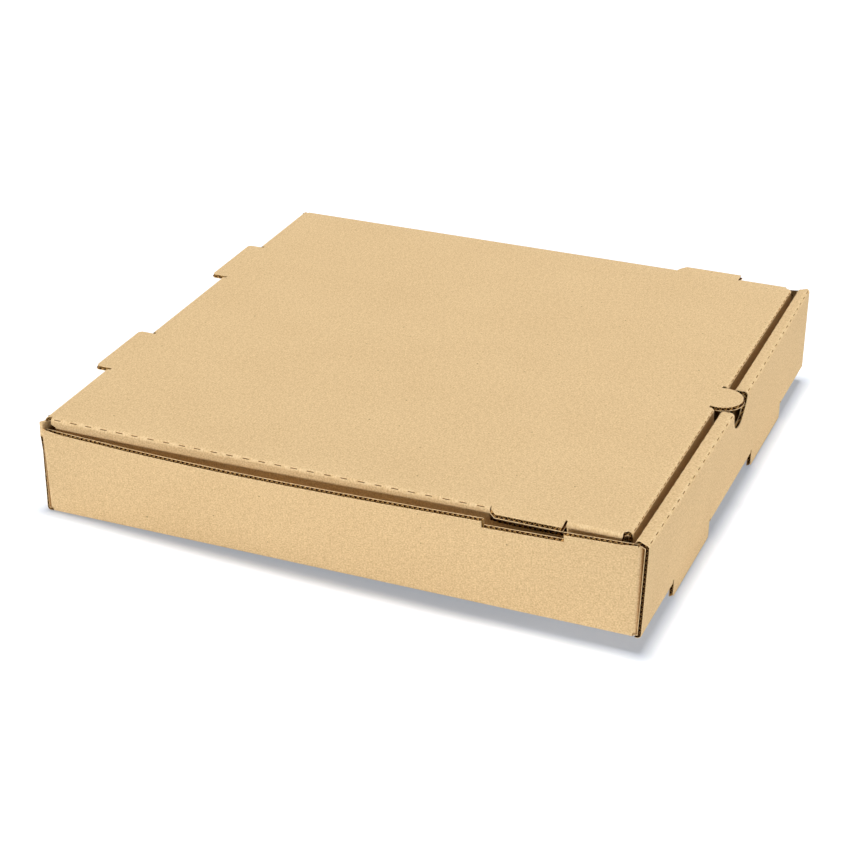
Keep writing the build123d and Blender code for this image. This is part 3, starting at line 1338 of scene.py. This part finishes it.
    def _inner_outline(self) -> list[Point2]:
        """Return the outline of the front's inner panel, with its lock tabs.

        Returns:
            Points across the box and up.
        """
        clear = self.stock.thickness + self.cut
        left, right = self.lock_tab
        half = [(0.0, clear), (left, clear), (left, 0.0), (right, 0.0), (right, clear)]
        half += [(self.roll_inner_x, clear)]
        half += [(m, self.roll_under) for m in reversed(self._roll_creases()[1].marks())]
        return mirrored([*half, *self._roll_notch()[1:]])

    def _back(self, sheet: FoldedSheet) -> None:
        """Add the back wall, cut out for the lid's back tabs.

        Args:
            sheet: The sheet to add to.
        """
        y, top = self.inner_y, self.back_top
        floor = top - self.back_slot_depth
        start, end = self.back_slot
        half = [(m, self.stock.thickness) for m in Crease(0.0, self.back_end).marks()]
        half += [(self.back_end_top, top), (self.hinge_end, top), (end, top), (end, floor)]
        half += [(start, floor), (start, top), (0.0, top)]
        border = sheet.add_panel(mirrored(half), lambda u, v: (u, y, v), TO_BACK, lambda u, v: (u, y + v))
        for (u, v), i in border.items():
            at_hinge = v > top - SLACK and abs(u) <= self.hinge_end + SLACK
            in_bend = u < -self.hinge_end and v > top - self.stock.mesh_step
            if at_hinge or in_bend:
                sheet.plain.add(i)

    def _side(self, sheet: FoldedSheet, side: Side) -> None:
        """Add a side wall with its notch, and the corner flaps at its ends.

        Args:
            sheet: The sheet to add to.
            side: Side of the box.
        """
        board, top, sign = self.stock.thickness, self.wall_top, side.value
        x, reach = sign * self.inner_x, self.flap_face
        outward = (sign, 0.0, 0.0)
        foot = Crease(-reach, reach)
        post = Crease(*self.post_span)
        start, end = self.wall_notch
        sill = top - self.wall_notch_depth
        outline = [(m, board) for m in foot.marks()]
        outline += [(reach, m) for m in post.marks()]
        outline += [(reach, top), (end, top), (end, sill), (start, sill), (start, top), (-reach, top)]
        outline += [(-reach, m) for m in reversed(post.marks())]
        sheet.add_fold(
            foot, lambda m: (x, m, board), DOWN, outward, lambda m, share: (x + sign * board * share, m)
        )
        sheet.add_panel(outline, lambda u, v: (x, u, v), outward, lambda u, v: (x + sign * v, u))
        for end_of_box in End:
            self._corner_flap(sheet, side, end_of_box)
        for i, (px, py, pz) in enumerate(sheet.points):
            at_corner = abs(abs(px) - self.inner_x) < NEAR and abs(abs(py) - reach) < NEAR
            if at_corner and not post.start + NEAR < pz < post.end - NEAR:
                sheet.plain.add(i)

    def _corner_flap(self, sheet: FoldedSheet, side: Side, end: End) -> None:
        """Add the corner flap at one end of a side wall.

        Args:
            sheet: The sheet to add to.
            side: Side of the box.
            end: End of the box.
        """
        board, sign, way = self.stock.thickness, side.value, end.value
        x, y = sign * self.inner_x, way * self.flap_face
        post = Crease(*self.post_span)
        facing = (0.0, way, 0.0)
        sheet.add_fold(
            post,
            lambda m: (x, y, m),
            (sign, 0.0, 0.0),
            facing,
            lambda m, share: (x + sign * m, y + way * board * share),
        )
        low, high = self.flap_span
        bevel = self.flap_bevel
        tip, neck = x - sign * self.flap_length, x - sign * self.flap_neck
        flap = [(x, m) for m in post.marks()]
        flap += [(neck, high), (tip + sign * bevel, high), (tip, high - bevel)]
        flap += [(tip, low + bevel), (tip + sign * bevel, low), (neck, low)]
        sheet.add_panel(
            flap,
            lambda u, v: (u, y, v),
            facing,
            lambda u, v: (x + sign * v, y + way * (board + abs(u - x))),
        )

    def settle(self, sheet: FoldedSheet) -> np.ndarray:
        """Let the walls belly, droop and lean as folded board does, and turn their directions with them.

        Args:
            sheet: The sheet as folded.

        Returns:
            The settled places of its points.
        """
        points = np.array(sheet.points)
        settled = points.copy()
        self._bow_walls(sheet, points, settled)
        settled[:, 1] += self._front_lean(points)
        push = self._corner_push(points)
        step = self.stock.mesh_step
        bend = (push - self._corner_push(points + (step, 0.0, 0.0))) / step
        for i in np.flatnonzero(push > 0):
            if sheet.normals[i][1] > FACING:
                sheet.turn(i, (float(bend[i]), 0.0, 0.0))
        settled[:, 1] += push
        return settled

    def _bow_walls(self, sheet: FoldedSheet, points: np.ndarray, settled: np.ndarray) -> None:
        """Let the side walls belly out, and the left one droop with its corner flaps.

        Args:
            sheet: The sheet, whose directions are turned.
            points: Places of its points as folded.
            settled: Their settled places, which are moved.
        """
        x, y, z = points.T
        along = y / self.flap_face
        wall = (np.abs(x) > self.inner_x - NEAR) & (np.abs(y) < self.flap_face + NEAR)
        belly = np.clip(1 - along**2, 0, 1)
        height = self.wall_top - self.bow_start
        rise = np.clip((z - self.bow_start) / height, 0, 1)
        bow = np.where(x < 0, self.bows[Side.LEFT], self.bows[Side.RIGHT])
        settled[:, 0] += np.where(wall, np.sign(x) * bow * belly * rise**self.bow_curl, 0.0)
        slope = bow * belly * self.bow_curl * rise ** (self.bow_curl - 1) / height
        for i in np.flatnonzero(wall & (rise > 0)):
            sheet.turn(i, (0.0, 0.0, -float(slope[i])))
        middle, tilt, sway = self.droop
        droop = -middle - tilt * along - sway * np.sin(math.pi * along)
        flap = (np.abs(np.abs(y) - self.flap_face) < NEAR) & (x < -self.inner_x + self.flap_length + NEAR)
        hung = (wall & (x < 0)) | flap
        share = np.clip(z - self.stock.thickness, 0, None) / self.wall_top
        settled[:, 2] += np.where(hung, droop * share, 0.0)

    def _front_lean(self, points: np.ndarray) -> np.ndarray:
        """Return how far the front wall leans at each point.

        Args:
            points: Places of the sheet's points as folded.

        Returns:
            The lean along the box, less than 0 where it goes out.
        """
        x, y, z = points.T
        across = x / self.outer_x
        middle, tilt, curve = self.lean_out
        outer = -(middle - tilt * across - curve * across**2)
        ends, swell = self.lean_in
        inner = -ends - swell * (1 - across**2)
        depth = np.clip((y + self.inner_y) / (self.inner_y - self.roll_face), 0, 1)
        lean = (outer + (inner - outer) * depth) * np.clip(z / self.roll_under, 0, 1)
        near = np.clip((-y - self.lean_start) / self.lean_run, 0, 1)
        return lean * near * near * (3 - 2 * near)

    def _corner_push(self, points: np.ndarray) -> np.ndarray:
        """Return how far the left back corner is pushed back, as in a box that was handled.

        Args:
            points: Places on the box.

        Returns:
            The push at each point.
        """
        x, y, z = points.T
        foot, head = self.push
        push = foot + (head - foot) * np.clip(z / self.wall_top, 0, 1)
        across = np.clip((-x - self.push_start[0]) / self.push_run[0], 0, 1)
        along = np.clip((y - self.push_start[1]) / self.push_run[1], 0, 1)
        return push * across**2 * along**2


@dataclass
class Lid(BoardPart):
    """The lid: top panel with its tucked flaps, and the tabs that stand in its plane. Millimetres."""

    body: ClassVar[str] = "lid"
    # Top panel: inner corners of its folds, front edge, and where its creases start and end.
    inner_x: float = 150.4
    front_inner: float = -147.1
    front: float = -149.1
    under: float = 49.0
    hinge: float = 155.5
    hinge_end: float = 151.8
    relief_x: float = 149.3
    relief_y: float = -146.0
    crease_end: float = 154.6
    # Where the lid's zero mark lies along the flat blank.
    blank_zero: float = 370.0
    # Thumb tongue, and the cut-out that it leaves in the front flap.
    tongue_radius: float = 11.95
    tongue_gap: float = 0.5
    tongue_steps: int = 20
    cutout_steps: int = 14
    # Side tabs, how the left one droops and the right one is pulled out past its root, and their slots.
    tab: Point2 = (-118.1, -81.1)
    tab_reach: float = 156.55
    tab_bevel: float = 3.5
    tab_root: float = 1.0
    tab_droop: float = 0.15
    tab_pull: float = 0.36
    tab_gap: float = 0.35
    tab_cut: float = 0.1
    tab_slot: float = 4.7
    # Side flaps and front flap.
    shoulder: float = 47.3
    shoulder_drop: float = 1.2
    flap_end: float = 152.05
    flap_low: float = 7.8
    flap_taper: float = 10.0
    flap_round: float = 8.0
    front_flap_low: float = 19.0
    front_flap_foot: float = 143.2
    # Back tabs.
    back_tab: Point2 = (42.0, 90.0)
    back_tab_reach: float = 165.0
    back_tab_bevel: float = 2.0
    # Slits in the side and front creases, and how far the top panel dishes.
    slit_pitch: float = 8.7
    slit: float = 3.6
    front_slit_pitch: float = 5.8
    front_slit: float = 3.3
    front_slit_facet: int = 1
    dish: float = 0.6

    def fold(self, sheet: FoldedSheet) -> None:
        """Add the lid's panels and folds.

        Args:
            sheet: The sheet to add to.
        """
        self._top(sheet)
        self._front_flap(sheet)
        for side in Side:
            self._side_flap(sheet, side)

    def _front_crease(self) -> Crease:
        """Return the right half of the front crease."""
        start = self.tongue_radius + self.tongue_gap
        pitch, slit = self.front_slit_pitch, self.front_slit
        return Crease(start, self.relief_x, pitch, slit, facet=self.front_slit_facet)

    def _side_creases(self) -> tuple[Crease, Crease]:
        """Place the creases along a side.

        Returns:
            The creases before and after the side tab.
        """
        return (
            Crease(self.relief_y, self.tab[0] - self.tab_gap),
            Crease(self.tab[1] + self.tab_cut, self.crease_end, self.slit_pitch, self.slit),
        )

    def _hinge_creases(self) -> tuple[Crease, Crease]:
        """Place the right half of the hinge.

        Returns:
            The creases inside and outside the back tab.
        """
        return (
            Crease(0.0, self.back_tab[0] - self.tab_gap),
            Crease(self.back_tab[1] + self.tab_gap, self.hinge_end),
        )

    def _unfold(self, u: float, v: float) -> Point2:
        """Return where a point of the top panel lies on the flat blank."""
        return u, self.blank_zero - v

    def _top(self, sheet: FoldedSheet) -> None:
        """Add the top panel with its tabs, and the folds along its four sides.

        Args:
            sheet: The sheet to add to.
        """
        under, x, board = self.under, self.inner_x, self.stock.thickness
        sheet.add_panel(self._top_outline(), lambda u, v: (u, v, under), UP, self._unfold)
        for sign in (-1.0, 1.0):
            sheet.add_fold(
                self._front_crease(),
                lambda m: (sign * m, self.front_inner, under),
                UP,
                TO_FRONT,
                lambda m, share: self._unfold(sign * m, self.front_inner - board * share),
            )
            for crease in self._side_creases():
                sheet.add_fold(
                    crease,
                    lambda m: (sign * x, m, under),
                    UP,
                    (sign, 0.0, 0.0),
                    lambda m, share: self._unfold(sign * (x + board * share), m),
                )
            for crease in self._hinge_creases():
                last = sheet.add_fold(
                    crease,
                    lambda m: (sign * m, self.hinge, under),
                    UP,
                    TO_BACK,
                    lambda m, share: self._unfold(sign * m, self.hinge + board * share),
                )
                sheet.plain.update(last)

    def _top_outline(self) -> list[Point2]:
        """Return the outline of the top panel, with its tongue and tabs.

        Returns:
            Points across and along the box.
        """
        x, reach, bevel = self.inner_x, self.tab_reach, self.tab_bevel
        near, far = self.tab
        ahead, behind = self._side_creases()
        middle, outer = self._hinge_creases()
        rise = math.degrees(math.asin((self.front_inner - self.front) / self.tongue_radius))
        tongue = arc((0.0, self.front), self.tongue_radius, -90.0, rise, self.tongue_steps)
        half = [(0.0, tongue[0][1]), *tongue[1:]]
        half += [(m, self.front_inner) for m in self._front_crease().marks()]
        half += [(x, m) for m in ahead.marks()]
        half += [(x, near), (reach, near), (reach, far - bevel), (reach - bevel, far), (x, far)]
        half += [(x, m) for m in behind.marks()]
        half += [(m, self.hinge) for m in reversed(outer.marks())]
        tip, bevel = self.back_tab_reach, self.back_tab_bevel
        start, end = self.back_tab
        half += [(end, self.hinge), (end, tip - bevel), (end - bevel, tip)]
        half += [(start + bevel, tip), (start, tip - bevel), (start, self.hinge)]
        half += [(m, self.hinge) for m in reversed(middle.marks())]
        return mirrored(half)

    def _front_flap(self, sheet: FoldedSheet) -> None:
        """Add the front flap, with the half-round cut-out that the tongue leaves.

        Args:
            sheet: The sheet to add to.
        """
        radius = self.tongue_radius + self.tongue_gap
        half = [(0.0, self.front_flap_low), (self.front_flap_foot, self.front_flap_low)]
        half += [(m, self.under) for m in reversed(self._front_crease().marks())]
        half += arc((0.0, self.under), radius, 0.0, -90.0, self.cutout_steps)[1:-1]
        half += [(0.0, self.under - radius)]
        sheet.add_panel(
            mirrored(half),
            lambda u, v: (u, self.front_inner, v),
            TO_FRONT,
            lambda u, v: self._unfold(u, self.front_inner - self.stock.thickness - (self.under - v)),
        )

    def _side_flap(self, sheet: FoldedSheet, side: Side) -> None:
        """Add a side flap, with the cut-out that the side tab leaves.

        Args:
            sheet: The sheet to add to.
            side: Side of the box.
        """
        sign = side.value
        ahead, behind = self._side_creases()
        sill = self.under - self.tab_slot
        start, end = ahead.end, behind.start
        front = (self.relief_y + self.flap_taper, self.flap_low)
        back = (self.flap_end - self.flap_taper, self.flap_low)
        outline = [(m, self.under) for m in ahead.marks()]
        outline += [(start, sill), (end, sill)]
        outline += [(m, self.under) for m in behind.marks()]
        outline += [(self.crease_end, self.shoulder), (self.flap_end, self.shoulder - self.shoulder_drop)]
        outline += rounded((self.flap_end, self.under), back, front, self.flap_round)
        outline += rounded(back, front, (self.relief_y, self.under), self.flap_round)
        sheet.add_panel(
            outline,
            lambda u, v: (sign * self.inner_x, u, v),
            (sign, 0.0, 0.0),
            lambda u, v: self._unfold(sign * (self.inner_x + self.stock.thickness + self.under - v), u),
        )
        for i, (x, y, z) in enumerate(sheet.points):
            if abs(abs(x) - self.inner_x) > NEAR:
                continue
            at_crease = abs(z - self.under) < NEAR
            in_slot = sill - NEAR < z < self.under + NEAR
            at_start = at_crease and abs(y - start) < NEAR
            at_end = at_crease and abs(y - end) < self.tab_cut + NEAR
            if at_start or at_end or (in_slot and abs(y - end) < NEAR):
                sheet.plain.add(i)
            if at_crease and abs(y - self.relief_y) < NEAR:
                sheet.crushed.add(i)

    def settle(self, sheet: FoldedSheet) -> np.ndarray:
        """Let the top panel dish a little under its own weight, and the side tabs bend.

        Args:
            sheet: The sheet as folded.

        Returns:
            The settled places of its points.
        """
        points = np.array(sheet.points)
        settled = points.copy()
        x, y, z = points.T
        half_depth = (self.hinge - self.front_inner) / 2
        middle = (self.hinge + self.front_inner) / 2
        across = np.clip(1 - (x / self.inner_x) ** 2, 0, 1)
        along = np.clip(1 - ((y - middle) / half_depth) ** 2, 0, 1)
        in_top = z > self.under - NEAR
        settled[:, 2] -= np.where(in_top, self.dish * (across * along), 0.0)
        in_tab = in_top & (y > self.tab[0] - NEAR) & (y < self.tab[1] + NEAR)
        past = np.clip(np.abs(x) - self.inner_x - self.tab_root, 0, None)
        settled[:, 2] -= np.where(in_tab & (x < 0), self.tab_droop * past, 0.0)
        settled[:, 0] += np.where(in_tab & (x > 0), self.tab_pull * past, 0.0)
        return settled


@dataclass(frozen=True)
class Lamp:
    """A broad soft lamp, far away.

    Args:
        name: Name of the lamp.
        power: Light on a surface that faces it, in watts per square metre.
        spread: How broad it looks from the box, in degrees.
        place: Direction from the box to the lamp.
    """

    name: str
    power: float
    spread: float
    place: Point3

    def hang(self) -> None:
        """Add the lamp to the scene."""
        light = bpy.data.lights.new(self.name, "SUN")
        light.energy = self.power
        light.angle = math.radians(self.spread)
        lamp = bpy.data.objects.new(self.name, light)
        lamp.rotation_euler = Vector(self.place).to_track_quat("Z", "Y").to_euler()
        bpy.context.scene.collection.objects.link(lamp)


@dataclass
class Studio:
    """Floor, light and camera of the picture. Metres and degrees, but millimetres for lens and sensor."""

    camera_place: Point3 = (-0.96540, -0.38335, 0.53826)
    azimuth: float = -67.61379
    elevation: float = 27.14612
    roll: float = 0.11128
    lens: float = 91.05
    sensor: float = 36.0
    far: float = 50.0
    floor_radius: float = 8.0
    floor_sides: int = 64
    floor_gap: float = 0.00005
    floor_front: Point2 = (-0.1575, -0.008)
    floor_back: Point2 = (0.1559, 0.0)
    floor_tone: Colour = (0.73, 0.73, 0.73)
    floor_glow: Colour = (0.445, 0.48, 0.535)
    # Painted shadow on the floor round the box: its tone, the box's half size, how far it reaches and how
    # far it dims the glow.
    painted_shadow_tone: Colour = (0.50, 0.53, 0.58)
    shade_half: Point2 = (0.1565, 0.1575)
    shade_reach: Point2 = (0.011, 0.011)
    shade_depth: float = 0.32
    sky: float = 0.05
    sky_tone: Colour = (1.0, 0.78, 0.50)
    lamps: tuple[Lamp, ...] = (
        Lamp("top_lamp", 2.42, 13.0, (0.03, 0.02, 1.0)),
        Lamp("left_lamp", 1.74, 9.0, (-0.97, 0.16, 0.085)),
        Lamp("front_lamp", 1.52, 9.0, (0.16, -0.97, 0.085)),
        Lamp("right_lamp", 0.60, 12.0, (0.97, 0.10, 0.12)),
        Lamp("back_lamp", 0.60, 12.0, (-0.10, 0.97, 0.12)),
    )

    def build(self) -> None:
        """Set up the floor, the light and the camera."""
        self._floor()
        self._light()
        self._camera()

    def _floor(self) -> None:
        """Lay a pale floor under the feet and the back edge of the box."""
        (y0, z0), (y1, z1) = self.floor_front, self.floor_back
        slope = (z1 - z0) / (y1 - y0)
        level = z0 - slope * y0
        work = bmesh.new()
        bmesh.ops.create_circle(work, cap_ends=True, segments=self.floor_sides, radius=self.floor_radius)
        for vertex in work.verts:
            vertex.co.z = level + slope * vertex.co.y - self.floor_gap
        mesh = bpy.data.meshes.new("floor")
        work.to_mesh(mesh)
        work.free()
        floor = bpy.data.objects.new("floor", mesh)
        bpy.context.scene.collection.objects.link(floor)
        mesh.materials.append(self._floor_finish())

    def _floor_finish(self) -> bpy.types.Material:
        """Build the floor's finish: matt, with a glow that only the camera sees and a painted shadow near
        the box.

        Returns:
            The material.
        """
        made, nodes = new_material("pale_floor")
        seen = self._seen(nodes)
        # Near the box the tone darkens and the glow dims: a painted shadow on top of the real one.
        shade = nodes.math("MULTIPLY", seen, self._painted_contact_shadow(nodes))
        tone = nodes.blend(shade, (*self.floor_tone, 1.0), (*self.painted_shadow_tone, 1.0))
        matt = nodes.add("ShaderNodeBsdfDiffuse", {"Color": tone})
        lit = nodes.math("SUBTRACT", 1.0, nodes.math("MULTIPLY", shade, self.shade_depth))
        strength = nodes.math("MULTIPLY", seen, lit)
        glow = nodes.add("ShaderNodeEmission", {"Color": (*self.floor_glow, 1.0), "Strength": strength})
        both = nodes.add("ShaderNodeAddShader", {0: matt.outputs[0], 1: glow.outputs[0]})
        nodes.add("ShaderNodeOutputMaterial", {"Surface": both.outputs[0]})
        return made

    def _painted_contact_shadow(self, nodes: NodeSheet) -> bpy.types.NodeSocket:
        """Add the painted shadow that darkens the floor close to the box, over its real shadow.

        Args:
            nodes: The floor's nodes.

        Returns:
            1 at the box's walls, 0 in the open.
        """
        place = nodes.add("ShaderNodeTexCoord").outputs["Object"]
        place = nodes.add("ShaderNodeSeparateXYZ", {0: place}).outputs
        squares = []
        for axis, half, reach in zip(place, self.shade_half, self.shade_reach):
            past = nodes.math("MAXIMUM", nodes.math("SUBTRACT", nodes.math("ABSOLUTE", axis), half), 0.0)
            squares.append(nodes.math("POWER", nodes.math("DIVIDE", past, reach), 2.0))
        away = nodes.math("SQRT", nodes.math("ADD", *squares))
        return nodes.math("MAXIMUM", nodes.math("SUBTRACT", 1.0, away), 0.0)

    @staticmethod
    def _seen(nodes: NodeSheet) -> bpy.types.NodeSocket:
        """Return 1 for what the camera sees, also in gloss or through glass."""
        path = nodes.add("ShaderNodeLightPath").outputs
        gloss = nodes.math("MAXIMUM", path["Is Glossy Ray"], path["Is Transmission Ray"])
        return nodes.math("MAXIMUM", path["Is Camera Ray"], gloss)

    def _light(self) -> None:
        """Light the box with a dim warm room, a lamp overhead and low lamps all round."""
        world = bpy.data.worlds.new("room")
        world.use_nodes = True
        world.node_tree.nodes.clear()
        nodes = NodeSheet(world.node_tree)
        seen = self._seen(nodes)
        strength = nodes.math("ADD", self.sky, nodes.math("MULTIPLY", seen, 1.0 - self.sky))
        tone = nodes.blend(seen, (*self.sky_tone, 1.0), (1.0, 1.0, 1.0, 1.0))
        room = nodes.add("ShaderNodeBackground", {"Color": tone, "Strength": strength})
        nodes.add("ShaderNodeOutputWorld", {"Surface": room.outputs[0]})
        bpy.context.scene.world = world
        for lamp in self.lamps:
            lamp.hang()

    def _camera(self) -> None:
        """Stand the camera where the photograph was taken from."""
        a, e, r = (math.radians(v) for v in (self.azimuth, self.elevation, self.roll))
        back = Vector((math.sin(a) * math.cos(e), -math.cos(a) * math.cos(e), math.sin(e)))
        right = (-back).cross(Vector(UP)).normalized()
        up = back.cross(right).normalized()
        right, up = right * math.cos(r) + up * math.sin(r), up * math.cos(r) - right * math.sin(r)
        lens = bpy.data.cameras.new("photo_camera")
        lens.lens = self.lens
        lens.sensor_width = self.sensor
        lens.clip_end = self.far
        camera = bpy.data.objects.new("photo_camera", lens)
        turn = Matrix((right, up, back)).transposed().to_4x4()
        camera.matrix_world = Matrix.Translation(self.camera_place) @ turn
        bpy.context.scene.collection.objects.link(camera)
        bpy.context.scene.camera = camera


def main() -> None:
    """Build the box and the studio."""
    logging.basicConfig(level=logging.INFO, format="%(name)s: %(message)s")
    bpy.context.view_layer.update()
    bpy.context.scene.view_settings.view_transform = "Standard"
    stock, finishes = BoardStock(), Finishes()
    for part in (Tray(stock, finishes), Lid(stock, finishes)):
        for piece in part.build():
            LOG.info("%s: %d faces", piece.name, len(piece.data.polygons))
    Studio().build()


if __name__ == "__main__":
    main()
